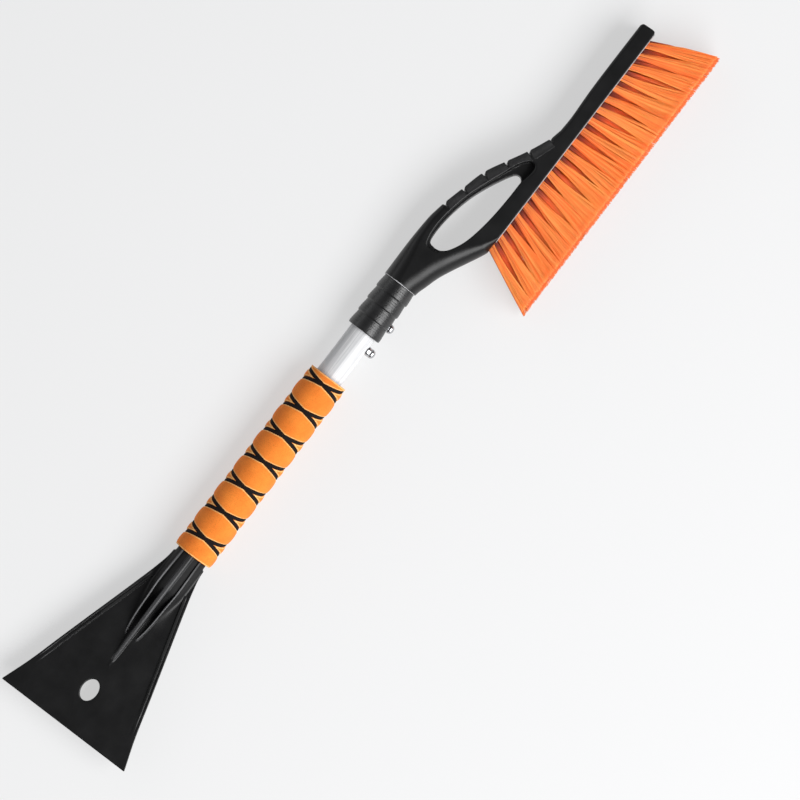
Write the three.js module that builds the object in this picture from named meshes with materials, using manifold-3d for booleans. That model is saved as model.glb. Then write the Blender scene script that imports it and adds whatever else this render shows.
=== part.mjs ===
// Snow brush with an ice scraper: a fan-shaped scraper blade, an aluminium tube with a foam grip,
// and a brush head that locks on the tube with spring-loaded snap buttons.
//
// Millimetres. The tool lies on its side: x runs along the tube from the scraping edge to the
// brush, the bristles point towards -y, and z is square to the blade. The parts are drawn with
// x = 0 at the scraping edge and y = z = 0 on the tube's axis; the group at the end of the file
// moves them so that the origin is under the middle of the whole tool.

import * as THREE from 'three';
import { mergeVertices } from 'three/addons/utils/BufferGeometryUtils.js';
import Module from 'manifold-3d';

const wasm = await Module();
wasm.setup();

// ---- Driving dimensions ----

const overallLength = 700.3;
const bladeWidth = 116.2;
const gripRadius = 16.8;
const bristleReach = 89.4;
const gap = 0.3;

const tube = { radius: 11, wall: 1.2, start: 130.3, end: 418, sides: 32 };
const blade = { thickness: 3, edgeThickness: 0.8, edgeTaper: 12, rimWidth: 4.7, rimHeight: 1.2 };
const neck = { radius: 14.2, barrelRadius: 12.9, start: 128, end: 161, crestStart: 60 };
const hangHole = { x: 33.3, length: 18, width: 12.6 };
const screw = { x: 148, headRadius: 3.2, shankRadius: 1.6, headHeight: 1.4, length: 6 };
const grip = { start: 161 + gap, end: 330, coreRadius: 13.9, waistRadius: 15.5, endRadius: 14.9 };
const wrap = { firstCrossing: 177.6, pitch: 24.2 };
const collar = { start: 373, end: 418.1, radius: 14.2, grooveDepth: 0.6, ribs: 7, lip: 1.6 };
const socket = { radius: 12.4, boreEnd: 445.5 };
const button = { radius: 3.75, tip: 17.8, flangeRadius: 4.5, flangeBase: 7.4, shoulder: 14.6 };
const buttonX = { lower: 363.4, upper: 386.8 };
const clip = { length: 34, thickness: 0.7, width: 8 };
const head = { halfDepth: 14, edgeRound: 2.8, rootY: -39.2, barStart: 478, barEnd: 684.7 };
const pad = { count: 5, clearance: 0.9, height: 3, lastHeight: 2.4 };
const carrier = {
  start: 481, end: 681.5, thickness: 3, width: 23, flange: 0.8, flangeStart: 478.6, flangeEnd: 683.4,
};
const tuft = { columns: 20, rootStart: 478, rootEnd: 676, tipStart: 455.4, tipEnd: 700.3 };

const boreRadius = tube.radius + gap;
const tubeInside = tube.radius - tube.wall;

// ---- Materials ----

function material(color, roughness, metalness = 0) {
  return new THREE.MeshStandardMaterial({ color, roughness, metalness });
}

const blackPlastic = material(0x1d1d1f, 0.42);
const softBlack = material(0x262628, 0.8);
const orangeFoam = material(0xff8a2e, 0.9);
const blackFoam = material(0x18181a, 0.95);
const brushedAluminium = material(0xd9dbde, 0.3, 1);
const chrome = material(0xe8e8ea, 0.12, 1);
const springSteel = material(0x9a9ca0, 0.35, 1);
const greyStrip = material(0x8d8f93, 0.6);
const orangeBristle = material(0xff6a1c, 0.55);

// ---- Solids ----

function points2(list) {
  return list.map(([x, y]) => new THREE.Vector2(x, y));
}

function toSolid(geometry) {
  geometry.deleteAttribute('normal');
  geometry.deleteAttribute('uv');
  const merged = mergeVertices(geometry);
  const vertProperties = merged.attributes.position.array;
  return new wasm.Manifold(new wasm.Mesh({ numProp: 3, vertProperties, triVerts: merged.index.array }));
}

function toGeometry(solid) {
  const mesh = solid.getMesh();
  const geometry = new THREE.BufferGeometry();
  geometry.setAttribute('position', new THREE.BufferAttribute(mesh.vertProperties, 3));
  geometry.setIndex(new THREE.BufferAttribute(mesh.triVerts, 1));
  return geometry;
}

function join(first, ...others) {
  return others.reduce((sum, next) => sum.add(next), first);
}

function cut(first, ...others) {
  return others.reduce((rest, next) => rest.subtract(next), first);
}

// A flat outline in x and y, extruded between two heights.
function slab(shape, low, high, curveSegments = 4) {
  const options = { depth: high - low, bevelEnabled: false, curveSegments };
  const geometry = new THREE.ExtrudeGeometry(shape, options);
  return toSolid(geometry.translate(0, 0, low));
}

function box(low, high) {
  const size = high.map((value, axis) => value - low[axis]);
  const geometry = new THREE.BoxGeometry(...size);
  return toSolid(geometry.translate(...low.map((value, axis) => value + size[axis] / 2)));
}

function rodAlongX(radius, start, end, sides = tube.sides) {
  const geometry = new THREE.CylinderGeometry(radius, radius, end - start, sides);
  return toSolid(geometry.rotateZ(-Math.PI / 2).translate((start + end) / 2, 0, 0));
}

// A rod that points away from the tube's axis towards -y, between two distances from that axis.
function rodAlongY(radius, x, near, far, sides = 24) {
  const geometry = new THREE.CylinderGeometry(radius, radius, far - near, sides);
  return toSolid(geometry.translate(x, -(near + far) / 2, 0));
}

function rodAlongZ(radius, x, low, high, sides = 20) {
  const geometry = new THREE.CylinderGeometry(radius, radius, high - low, sides);
  return toSolid(geometry.rotateX(Math.PI / 2).translate(x, 0, (low + high) / 2));
}

// A ring around the tube's axis, from a closed profile of [x, radius] points.
function ring(profile, sides) {
  const points = points2([...profile, profile[0]].map(([x, radius]) => [radius, x]));
  return new THREE.LatheGeometry(points, sides).rotateZ(-Math.PI / 2);
}

// A solid through stations [y, centre x, half width, half height], listed from the highest y down.
// squareness 1 gives ellipses, and more pushes them towards rectangles.
function loftAlongY(stations, sides, squareness = 1) {
  const rows = stations.length - 1;
  const geometry = new THREE.CylinderGeometry(1, 1, 1, sides, rows);
  const position = geometry.attributes.position;
  const fill = (value) => THREE.MathUtils.clamp(value * squareness, -1, 1);
  for (let i = 0; i < position.count; i += 1) {
    const [y, centre, halfWidth, halfHeight] = stations[Math.round((0.5 - position.getY(i)) * rows)];
    const x = centre + halfWidth * fill(position.getX(i));
    position.setXYZ(i, x, y, halfHeight * fill(position.getZ(i)));
  }
  return geometry;
}

// The same through stations [x, centre y, half width, half height], listed from the lowest x up.
function loftAlongX(stations, sides) {
  const turned = stations.map(([x, centre, halfWidth, halfHeight]) => [-x, centre, halfWidth, halfHeight]);
  return toSolid(loftAlongY(turned, sides).rotateZ(Math.PI / 2));
}

// A bent strip of constant thickness whose outer face follows the points [x, y].
function stripShape(points, thickness) {
  const path = points2(points);
  const inner = path.map((point, i) => {
    const before = path[Math.max(i - 1, 0)];
    const after = path[Math.min(i + 1, path.length - 1)];
    const along = after.clone().sub(before).normalize();
    return new THREE.Vector2(-along.y, along.x).multiplyScalar(thickness).add(point);
  });
  return new THREE.Shape([...path, ...inner.reverse()]);
}

// ---- Scraper ----

const bladeSide = new THREE.SplineCurve(points2([
  [0, bladeWidth / 2], [24, 49.8], [75, 35.2], [123.6, 21.1], [139, 16.9], [152, neck.radius],
])).getPoints(20);

// The blade's outline, drawn in by an inset and starting at a distance from the scraping edge.
function bladeOutline(inset, start) {
  const side = bladeSide.filter(({ x }) => x >= start).map(({ x, y }) => new THREE.Vector2(x, y - inset));
  const mirrored = side.map(({ x, y }) => new THREE.Vector2(x, -y)).reverse();
  return new THREE.Shape([...mirrored, ...side]);
}

function bladePlate() {
  const half = blade.thickness / 2;
  const edge = blade.edgeThickness / 2;
  const far = neck.end - 5;
  const side = new THREE.Shape(points2([
    [0, -edge], [blade.edgeTaper, -half], [far, -half], [far, half], [blade.edgeTaper, half], [0, edge],
  ]));
  const wedge = new THREE.ExtrudeGeometry(side, { depth: bladeWidth, bevelEnabled: false });
  const tapered = toSolid(wedge.rotateX(Math.PI / 2).translate(0, bladeWidth / 2, 0));
  return slab(bladeOutline(0, 0), -half, half).intersect(tapered);
}

function bladeRims() {
  const height = blade.thickness / 2 + blade.rimHeight;
  const band = slab(bladeOutline(0, 30), -height, height);
  return band.subtract(slab(bladeOutline(blade.rimWidth, 0), -2 * height, 2 * height));
}

function scraperRibs() {
  const base = blade.thickness / 2 - 0.2;
  const full = neck.start + 6;
  const crest = loftAlongX([
    [neck.crestStart, 0, 1.2, base],
    [95, 0, 1.5, 7.4],
    [full, 0, 1.8, neck.radius],
    [neck.end, 0, 1.8, neck.radius],
  ], 8);
  const sideHeight = Math.sqrt(neck.radius ** 2 - 8 ** 2);
  const sides = [-1, 1].map((side) => loftAlongX([
    [84, side * 5.3, 0.9, base],
    [95, side * 7, 1.4, 4],
    [106, side * 8, 1.6, 6.6],
    [full, side * 8, 1.6, sideHeight],
    [neck.end, side * 8, 1.6, sideHeight],
  ], 8));
  return join(crest, ...sides);
}

function scraperBlade() {
  const { radius, barrelRadius, start, end } = neck;
  const shoulder = loftAlongX([
    [100, 0, 7, 1.3],
    [start, 0, barrelRadius, barrelRadius],
    [end, 0, barrelRadius, barrelRadius],
  ], tube.sides);
  const oval = new THREE.Shape();
  oval.absellipse(hangHole.x, 0, hangHole.length / 2, hangHole.width / 2, 0, 2 * Math.PI);
  const hole = slab(oval, -10, 10, 12);
  const bore = rodAlongX(boreRadius, tube.start - gap, end + 1);
  const screwHole = rodAlongZ(screw.shankRadius + gap, screw.x, -radius - 1, 0);
  const seat = -radius + 0.2 + screw.headHeight + gap;
  const counterbore = rodAlongZ(screw.headRadius + gap, screw.x, -radius - 1, seat);
  const body = join(bladePlate(), bladeRims(), scraperRibs(), shoulder);
  return cut(body, hole, bore, screwHole, counterbore);
}

function neckScrew() {
  const top = -neck.radius + 0.2;
  const headSolid = rodAlongZ(screw.headRadius, screw.x, top, top + screw.headHeight);
  const shank = rodAlongZ(screw.shankRadius, screw.x, top + 0.5, top + screw.length);
  const slots = [[2.1, 0.4], [0.4, 2.1]].map(([halfX, halfY]) => (
    box([screw.x - halfX, -halfY, top - 1], [screw.x + halfX, halfY, top + 0.9])
  ));
  return cut(headSolid.add(shank), ...slots);
}

// ---- Tube, grip and locks ----

function handleTube() {
  const outer = rodAlongX(tube.radius, tube.start, tube.end);
  const inner = rodAlongX(tubeInside, tube.start - 1, tube.end + 1);
  const holeRadius = button.radius + gap;
  const buttonHoles = Object.values(buttonX).map((x) => rodAlongY(holeRadius, x, 2, tube.radius + 2));
  const screwHole = rodAlongZ(screw.shankRadius + gap, screw.x, -tube.radius - 1, 0);
  return cut(outer, inner, ...buttonHoles, screwHole);
}

function gripCore() {
  const { start, end, coreRadius } = grip;
  return ring([[start, boreRadius], [start, coreRadius], [end, coreRadius], [end, boreRadius]], 24);
}

// The outer foam bulges between the places where the two wound lines cross.
function gripCover() {
  const { start, end, waistRadius, endRadius } = grip;
  const radiusAt = (x) => {
    const phase = 2 * Math.PI * (x - wrap.firstCrossing) / wrap.pitch;
    return waistRadius + (gripRadius - waistRadius) * (1 - Math.cos(phase)) / 2;
  };
  const profile = [[start, endRadius], [start + 3, radiusAt(start + 3)]];
  const step = wrap.pitch / 4;
  for (let x = wrap.firstCrossing - step; x < end - 3; x += step) {
    profile.push([x, radiusAt(x)]);
  }
  profile.push([end - 2, waistRadius], [end, endRadius]);
  const inside = grip.coreRadius + gap;
  return ring([[start, inside], ...profile, [end, inside]], 24);
}

function snapButton(x) {
  const { radius, tip, flangeRadius, flangeBase, shoulder } = button;
  const profile = [[0, flangeBase], [flangeRadius, flangeBase], [flangeRadius, 8.3], [radius, 8.3],
    [radius, shoulder], [3.2, 16.4], [1.9, 17.5], [0, tip]];
  return new THREE.LatheGeometry(points2(profile), 24).rotateX(Math.PI).translate(x, 0, 0);
}

// A V-shaped leaf spring: one leg carries the button, the other presses on the tube's far wall.
function springClip(x, direction) {
  const under = -(button.flangeBase - gap);
  const farWall = 8.6;
  const bend = x + direction * (clip.length - 4);
  const middle = (under + farWall) / 2;
  const outer = [[x - direction * 4, under], [x + direction * 5, under], [bend - direction * 2, middle - 1.5],
    [bend, middle], [bend - direction * 2, middle + 1.5], [x - direction * 4, farWall]];
  const path = direction > 0 ? outer : outer.reverse();
  return slab(stripShape(path, clip.thickness), -clip.width / 2, clip.width / 2);
}

// ---- Brush head ----

// The notches across the back of the head. Each pad lies on the flat between two of them.
const notches = points2([
  [486.2, 8.3], [503.3, 3.6], [521.6, -1.4], [538.1, -9.7], [554.9, -18.4], [572.7, -25.1],
]);

function fingerLoop() {
  const loop = new THREE.Path();
  loop.moveTo(455.4, -4.5);
  loop.splineThru(points2([[457.5, 1.1], [468.7, 2.3], [484.3, 0.9], [501.9, -3], [517, -8.7],
    [529.8, -15]]));
  loop.splineThru(points2([[536.4, -19.2], [537.2, -23.8], [533, -25.9]]));
  loop.splineThru(points2([[519.3, -25.7], [501.3, -24.7], [485.1, -22.6], [471.9, -19.4], [461.1, -14.1],
    [455.4, -4.5]]));
  return loop;
}

// The shallow step round the loop's back rail, which runs on past the loop's upper end.
function loopStep() {
  const step = new THREE.Shape();
  step.moveTo(455.2, -8);
  step.splineThru(points2([[455, 1.6], [468.7, 4.6], [484.6, 3.2], [502.6, -0.9], [518.3, -6.7], [532, -13.6],
    [551, -24.6]]));
  step.lineTo(549, -25.8);
  step.lineTo(530, -25.8);
  step.splineThru(points2([[501.3, -24.7], [485.1, -22.6], [471.9, -19.4], [461.1, -14.1], [455.2, -8]]));
  return step;
}

function headOutline() {
  const { barStart, barEnd } = head;
  const underside = head.rootY + carrier.flange + gap;
  const shoulderX = collar.end + gap;
  const outline = new THREE.Shape();
  outline.moveTo(shoulderX, -collar.radius);
  outline.splineThru(points2([[429, -17.2], [439.2, -20.3], [450.1, -25.1], [460.7, -30.6], [470, -35.4],
    [barStart, underside]]));
  outline.lineTo(barEnd, underside);
  outline.lineTo(barEnd - 0.9, -25.6);
  outline.splineThru(points2([[643.7, -25.3], [619.2, -25.5], [596.3, -26.5], [582, -26]]));
  [...notches].reverse().forEach(({ x, y }) => outline.lineTo(x, y));
  outline.lineTo(481, 11.8);
  outline.splineThru(points2([[469.4, 13.4], [446.4, 14.3], [shoulderX, collar.radius]]));
  return outline;
}

function brushHeadBody() {
  const { halfDepth, edgeRound, rootY } = head;
  const outline = headOutline();
  outline.holes.push(fingerLoop());
  const bevel = { bevelEnabled: true, bevelSegments: 2, bevelSize: edgeRound, bevelThickness: edgeRound };
  const depth = 2 * (halfDepth - edgeRound);
  const options = { depth, curveSegments: 2, bevelOffset: -edgeRound, ...bevel };
  const plate = toSolid(new THREE.ExtrudeGeometry(outline, options).translate(0, 0, -depth / 2));
  const shoulder = rodAlongX(collar.radius, collar.end + gap, socket.boreEnd + 1.5);
  const sleeve = rodAlongX(socket.radius, collar.start + collar.lip + gap, collar.end + 2);
  const steps = [[halfDepth - 4, halfDepth + 1], [-halfDepth - 1, 4 - halfDepth]]
    .map(([low, high]) => slab(loopStep(), low, high, 2));
  const bore = rodAlongX(boreRadius, collar.start, socket.boreEnd);
  const buttonHole = rodAlongY(button.radius + gap, buttonX.upper, 5, 20);
  const seat = box([carrier.start, rootY - 1, -carrier.width / 2],
    [carrier.end, rootY + carrier.thickness + gap, carrier.width / 2]);
  return cut(join(plate, shoulder, sleeve), bore, buttonHole, seat, ...steps);
}

function brushHeadCollar() {
  const { start, end, radius, grooveDepth, ribs, lip } = collar;
  const inside = socket.radius + gap;
  const pitch = (end - start + 1.5) / ribs;
  const outer = [];
  for (let i = 0; i < ribs; i += 1) {
    const x = start + i * pitch;
    outer.push([x, radius], [x + pitch - 1.9, radius]);
    if (i < ribs - 1) {
      outer.push([x + pitch - 1.6, radius - grooveDepth], [x + pitch - 0.3, radius - grooveDepth]);
    }
  }
  outer[outer.length - 1] = [end, radius];
  const bore = [[end, inside], [start + lip, inside], [start + lip, boreRadius], [start, boreRadius]];
  const sleeve = toSolid(ring([...outer, ...bore], 24));
  return sleeve.subtract(rodAlongY(button.radius + gap, buttonX.upper, 5, 20));
}

// One raised pad lying on the flat between two notches.
function gripPad(i) {
  const from = notches[i];
  const along = notches[i + 1].clone().sub(from);
  const length = along.length();
  const [start, end] = [pad.clearance, length - pad.clearance];
  const height = i < pad.count - 1 ? pad.height : pad.lastHeight;
  const shape = new THREE.Shape();
  shape.moveTo(start, gap);
  shape.lineTo(end, gap);
  shape.lineTo(end, height - 1);
  shape.quadraticCurveTo(end, height, end - 2, height);
  shape.lineTo(start + 2, height);
  shape.quadraticCurveTo(start, height, start, height - 1);
  const halfWidth = head.halfDepth - head.edgeRound;
  const options = { depth: 2 * halfWidth, bevelEnabled: false, curveSegments: 3 };
  const geometry = new THREE.ExtrudeGeometry(shape, options);
  return geometry.translate(0, 0, -halfWidth).rotateZ(along.angle()).translate(from.x, from.y, 0);
}

// A strip pressed into the bar's seat, with a thin flange that shows along the roots of the bristles.
function bristleCarrier() {
  const { start, end, thickness, width, flange, flangeStart, flangeEnd } = carrier;
  const { rootY, halfDepth } = head;
  const strip = box([start + gap, rootY, gap - width / 2], [end - gap, rootY + thickness, width / 2 - gap]);
  return strip.add(box([flangeStart, rootY, 1 - halfDepth], [flangeEnd, rootY + flange, halfDepth - 1]));
}

// One column of bristles: narrow where it is set into the carrier, fanned out at the tips.
function bristleTuft(i) {
  const { columns, rootStart, rootEnd, tipStart, tipEnd } = tuft;
  const rootPitch = (rootEnd - rootStart) / columns;
  const tipPitch = (tipEnd - tipStart) / columns;
  const rootX = rootStart + (i + 0.5) * rootPitch;
  const tipX = tipStart + (i + 0.5) * tipPitch;
  const rootY = head.rootY - gap;
  const stations = [[0, 3.4, 9], [0.25, 4.6, 10.5], [0.6, 5.3, 12], [1, tipPitch / 2 - gap, 13.5]];
  return loftAlongY(stations.map(([share, halfWidth, halfHeight]) => [
    THREE.MathUtils.lerp(rootY, -bristleReach, share),
    THREE.MathUtils.lerp(rootX, tipX, share),
    halfWidth,
    halfHeight,
  ]), 8, 1.25);
}

// ---- Assembly ----

const tool = new THREE.Group();

function addPart(name, geometry, itsMaterial) {
  const mesh = new THREE.Mesh(geometry, itsMaterial);
  mesh.name = name;
  tool.add(mesh);
}

addPart('scraper_blade', toGeometry(scraperBlade()), blackPlastic);
addPart('neck_screw', toGeometry(neckScrew()), springSteel);
addPart('handle_tube', toGeometry(handleTube()), brushedAluminium);
addPart('grip_core', gripCore(), blackFoam);
addPart('grip_cover', gripCover(), orangeFoam);
for (const [place, direction] of [['lower', -1], ['upper', 1]]) {
  addPart(`snap_button_${place}`, snapButton(buttonX[place]), chrome);
  addPart(`spring_clip_${place}`, toGeometry(springClip(buttonX[place], direction)), springSteel);
}
addPart('brush_head_body', toGeometry(brushHeadBody()), blackPlastic);
addPart('brush_head_collar', toGeometry(brushHeadCollar()), softBlack);
for (let i = 0; i < pad.count; i += 1) {
  addPart(`grip_pad_${i + 1}`, gripPad(i), softBlack);
}
addPart('bristle_carrier', toGeometry(bristleCarrier()), greyStrip);
for (let i = 0; i < tuft.columns; i += 1) {
  addPart(`bristle_tuft_${String(i + 1).padStart(2, '0')}`, bristleTuft(i), orangeBristle);
}

tool.position.set(-overallLength / 2, (bristleReach - bladeWidth / 2) / 2, gripRadius);

export default tool;
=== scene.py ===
from functools import reduce
import math

import bmesh
import bpy
import numpy as np
from mathutils import Matrix, Vector

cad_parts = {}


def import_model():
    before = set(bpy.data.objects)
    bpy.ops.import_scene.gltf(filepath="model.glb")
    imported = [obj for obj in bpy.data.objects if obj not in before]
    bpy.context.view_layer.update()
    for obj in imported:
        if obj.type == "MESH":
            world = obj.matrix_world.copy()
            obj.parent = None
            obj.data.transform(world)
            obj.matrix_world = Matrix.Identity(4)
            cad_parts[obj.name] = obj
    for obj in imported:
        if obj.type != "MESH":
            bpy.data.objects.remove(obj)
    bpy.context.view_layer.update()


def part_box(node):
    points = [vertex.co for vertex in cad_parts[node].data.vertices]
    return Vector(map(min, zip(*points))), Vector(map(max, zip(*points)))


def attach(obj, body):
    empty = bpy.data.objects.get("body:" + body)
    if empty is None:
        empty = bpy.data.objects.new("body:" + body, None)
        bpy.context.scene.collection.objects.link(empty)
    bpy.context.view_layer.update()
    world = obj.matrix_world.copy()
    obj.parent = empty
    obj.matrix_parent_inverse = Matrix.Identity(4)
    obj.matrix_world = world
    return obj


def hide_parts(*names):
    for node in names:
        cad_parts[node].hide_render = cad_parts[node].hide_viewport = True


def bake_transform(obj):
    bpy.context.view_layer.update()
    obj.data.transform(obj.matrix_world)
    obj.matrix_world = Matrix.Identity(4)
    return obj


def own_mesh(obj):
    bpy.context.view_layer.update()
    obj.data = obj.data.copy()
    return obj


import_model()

# A snow brush with an ice scraper. Shapes are drawn in millimetres in the tool's own directions:
# x runs along the tube from the scraping edge, y = z = 0 is the tube's axis, the bristles point
# towards -y, and z is square to the blade. ORIGIN moves them into the frame.

MM = 0.001
TUBE_LOW, TUBE_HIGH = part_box("handle_tube")
ORIGIN = np.array([
    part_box("scraper_blade")[0].x,
    (TUBE_LOW.y + TUBE_HIGH.y) / 2,
    (TUBE_LOW.z + TUBE_HIGH.z) / 2,
])


def along(node):
    """The node's lowest and highest x, in millimetres from the scraping edge."""
    low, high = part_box(node)
    return (low.x - ORIGIN[0]) / MM, (high.x - ORIGIN[0]) / MM


TUBE_START, TUBE_END = along("handle_tube")
TUBE_RADIUS = (TUBE_HIGH.z - TUBE_LOW.z) / 2 / MM
TUBE_INSIDE = TUBE_RADIUS - 1.2
BORE_RADIUS = TUBE_RADIUS + 0.3
NECK_END = along("scraper_blade")[1]
GRIP_START, GRIP_END = along("grip_cover")
GRIP_RADIUS = 16.8
COLLAR_START, COLLAR_END = along("brush_head_collar")
COLLAR_RADIUS = 14.2
BUTTONS = {place: sum(along(f"snap_button_{place}")) / 2 for place in ("lower", "upper")}
BUTTON_HOLE = 4.05
ROOT_Y = (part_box("bristle_carrier")[0].y - ORIGIN[1]) / MM
TIP_Y = (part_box("bristle_tuft_01")[0].y - ORIGIN[1]) / MM
HEAD_START, HEAD_END = COLLAR_END + 0.3, along("brush_head_body")[1]
HALF_DEPTH = 14.0

CELL = 0.62


# ---- Meshes ----

def in_frame(points):
    """Points in millimetres, as a list of points in the frame."""
    return (ORIGIN + MM * np.asarray(points, float)).tolist()


def new_object(name, points, faces, material):
    """A mesh object, from points in the frame."""
    mesh = bpy.data.meshes.new(name)
    mesh.from_pydata(points, [], faces)
    mesh.materials.append(material)
    made = bpy.data.objects.new(name, mesh)
    bpy.context.scene.collection.objects.link(made)
    return made


def new_piece(name, shape, body, slot, *nodes):
    """A smooth piece made of (points, faces) or (points, faces, normals) in millimetres, that rides on
    a body and stands for nodes. A piece that is blended between two bodies has no body here."""
    points, faces, *normals = shape
    piece = new_object(name, in_frame(points), faces, MATERIALS[slot])
    mesh = piece.data
    mesh.validate()
    mesh.update()
    mesh.shade_smooth()
    if normals:
        mesh.normals_split_custom_set_from_vertices(normals[0].tolist())
    if body:
        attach(piece, body)
    if nodes:
        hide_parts(*nodes)
    return piece


def add_values(piece, **values):
    """Stores one number for each point of a piece, for its material."""
    for key, value in values.items():
        attribute = piece.data.attributes.new(key, "FLOAT", "POINT")
        attribute.data.foreach_set("value", np.ascontiguousarray(value, np.float32).ravel())


def joined(*shells):
    """Several (points, faces) shells as one."""
    starts = np.cumsum([0] + [len(points) for points, _ in shells])
    faces = [tuple(int(i + start) for i in face) for start, shell in zip(starts, shells) for face in shell[1]]
    return np.concatenate([points for points, _ in shells]), faces


def lathe(profile, sides, closed=False):
    """A shell turned about the x axis, from (x, radius) points. An open profile starts and ends on it."""
    angles = np.arange(sides) * 2 * math.pi / sides
    rings = [np.stack([np.full(sides, x), r * np.sin(angles), r * np.cos(angles)], 1)
             if r > 1e-6 else np.array([[x, 0.0, 0.0]]) for x, r in profile]
    starts = np.cumsum([0] + [len(ring) for ring in rings])
    pairs = list(zip(range(len(rings) - 1), range(1, len(rings))))
    if closed:
        pairs.append((len(rings) - 1, 0))
    faces = []
    for a, b in pairs:
        for i in range(sides):
            j = (i + 1) % sides
            # Next to a point on the axis, a quad has one corner twice and becomes a triangle.
            corners = [starts[ring] + k % len(rings[ring]) for ring, k in ((b, i), (b, j), (a, j), (a, i))]
            faces.append(tuple(dict.fromkeys(int(corner) for corner in corners)))
    faces = [face for face in faces if len(face) > 2]
    return np.concatenate(rings), faces


def tube_faces(rings, sides):
    """Faces of a closed tube, its points listed ring by ring."""
    faces = [(i * sides + j, i * sides + (j + 1) % sides, (i + 1) * sides + (j + 1) % sides,
              (i + 1) * sides + j) for i in range(rings - 1) for j in range(sides)]
    return faces + [tuple(range(sides))[::-1], tuple((rings - 1) * sides + j for j in range(sides))]


def turned_to_y(points):
    """Turns a shell made along +x so that it points along -y."""
    x, y, z = np.asarray(points, float).T
    return np.stack([y, -x, z], 1)


def cut_with(piece, *cutters):
    """Cuts closed shells out of a piece, exactly."""
    for points, faces in cutters:
        cutter = new_object("cutter", in_frame(points), faces, piece.data.materials[0])
        modifier = piece.modifiers.new("cut", "BOOLEAN")
        modifier.operation = "DIFFERENCE"
        modifier.solver = "EXACT"
        modifier.object = cutter
        graph = bpy.context.evaluated_depsgraph_get()
        result = bpy.data.meshes.new_from_object(piece.evaluated_get(graph))
        piece.modifiers.clear()
        old, piece.data = piece.data, result
        result.name = old.name
        for mesh in (cutter.data, old):
            bpy.data.meshes.remove(mesh)


def crisp(piece, degrees):
    """Keeps the edges sharp that turn by more than this."""
    piece.data.shade_smooth()
    piece.data.set_sharp_from_angle(angle=math.radians(degrees))


def round_normals(piece):
    """Gives a tube's walls the exact normals of a cylinder about the tool's axis."""
    mesh, normals = piece.data, []
    for polygon in mesh.polygons:
        normal = np.array(polygon.normal)
        for vertex in polygon.vertices:
            radial = (np.array(mesh.vertices[vertex].co) - ORIGIN) * (0, 1, 1)
            radial /= max(np.linalg.norm(radial), 1e-9)
            side = normal @ radial
            normals.append(math.copysign(1, side) * radial if abs(side) > 0.9 else normal)
    mesh.normals_split_custom_set([tuple(normal) for normal in normals])


# ---- Signed distances ----
# Shapes are fields: functions of x, y and z that give the distance to the surface, negative inside.

def smoothstep(low, high, value):
    """0 up to low and 1 from high, with an S-shaped rise between them."""
    share = np.clip((value - low) / (high - low), 0, 1)
    return share * share * (3 - 2 * share)


def follow(x, stations):
    """A smooth curve through (x, value) stations, level beyond its ends."""
    knots, values = np.array(stations, float).T
    steps = np.diff(values) / np.diff(knots)
    between = np.sqrt(np.maximum(steps[1:] * steps[:-1], 0)) * np.sign(steps[1:])
    slopes = np.concatenate([steps[:1], between, steps[-1:]])
    i = np.clip(np.searchsorted(knots, x) - 1, 0, len(knots) - 2)
    span = knots[i + 1] - knots[i]
    t = np.clip((x - knots[i]) / span, 0, 1)
    a, b = values[i], values[i + 1]
    p, q = slopes[i] * span, slopes[i + 1] * span
    return a + t * (p + t * (3 * (b - a) - 2 * p - q + t * (p + q - 2 * (b - a))))


def curve_through(points, steps=8):
    """Points on a smooth open curve through the given ones."""
    p = np.array(points, float)
    p = np.vstack([2 * p[0] - p[1], p, 2 * p[-1] - p[-2]])
    found = []
    for a, b, c, d in zip(p, p[1:], p[2:], p[3:]):
        for t in np.arange(steps) / steps:
            found.append(0.5 * (2 * b + (c - a) * t + (2 * a - 5 * b + 4 * c - d) * t ** 2
                                + (3 * b - a - 3 * c + d) * t ** 3))
    return np.vstack([found, p[-2]])


def outline_distance(points):
    """Signed distance to a closed flat outline, negative inside."""
    starts = np.asarray(points, float)
    ends = np.roll(starts, -1, axis=0)

    def distance(x, y):
        x, y = np.broadcast_arrays(x, y)
        nearest = np.full(x.shape, np.inf)
        inside = np.zeros(x.shape, bool)
        for (ax, ay), (bx, by) in zip(starts, ends):
            ex, ey = bx - ax, by - ay
            if ex * ex + ey * ey < 1e-12:
                continue
            wx, wy = x - ax, y - ay
            t = np.clip((wx * ex + wy * ey) / (ex * ex + ey * ey), 0, 1)
            nearest = np.minimum(nearest, (wx - t * ex) ** 2 + (wy - t * ey) ** 2)
            if ay != by:
                inside ^= ((ay > y) != (by > y)) & (wx < ex * wy / ey)
        return np.where(inside, -1, 1) * np.sqrt(nearest)

    return distance


def both(a, b, radius=0.0):
    """What is in both shapes, with the edge between them rounded."""
    if np.ndim(radius) == 0 and radius == 0:
        return np.maximum(a, b)
    a, b = a + radius, b + radius
    return np.minimum(np.maximum(a, b), 0) + np.hypot(np.maximum(a, 0), np.maximum(b, 0)) - radius


def all_of(*shapes):
    """What is in every one of the shapes, with sharp edges between them."""
    return reduce(np.maximum, shapes)


def blended(a, b, radius):
    """Either shape, with a fillet where they meet."""
    share = np.clip(0.5 + 0.5 * (b - a) / radius, 0, 1)
    return b * (1 - share) + a * share - radius * share * (1 - share)


def without(a, b, radius=0.0):
    """The first shape less the second, with the new edge softened."""
    if np.ndim(radius) == 0 and radius == 0:
        return np.maximum(a, -b)
    return -blended(-a, b, radius)


def rod(x, y, z, axis, centre, radius):
    """An endless rod along one axis."""
    away = [value - middle for value, middle, name in zip((x, y, z), centre, "xyz") if name != axis]
    return np.hypot(*away) - radius


def within(value, low, high):
    """A slab from low to high."""
    return np.abs(value - (low + high) / 2) - (high - low) / 2


def block(x, y, z, low, high):
    """A box from one corner to the other."""
    return all_of(*(within(*side) for side in zip((x, y, z), low, high)))


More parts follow.
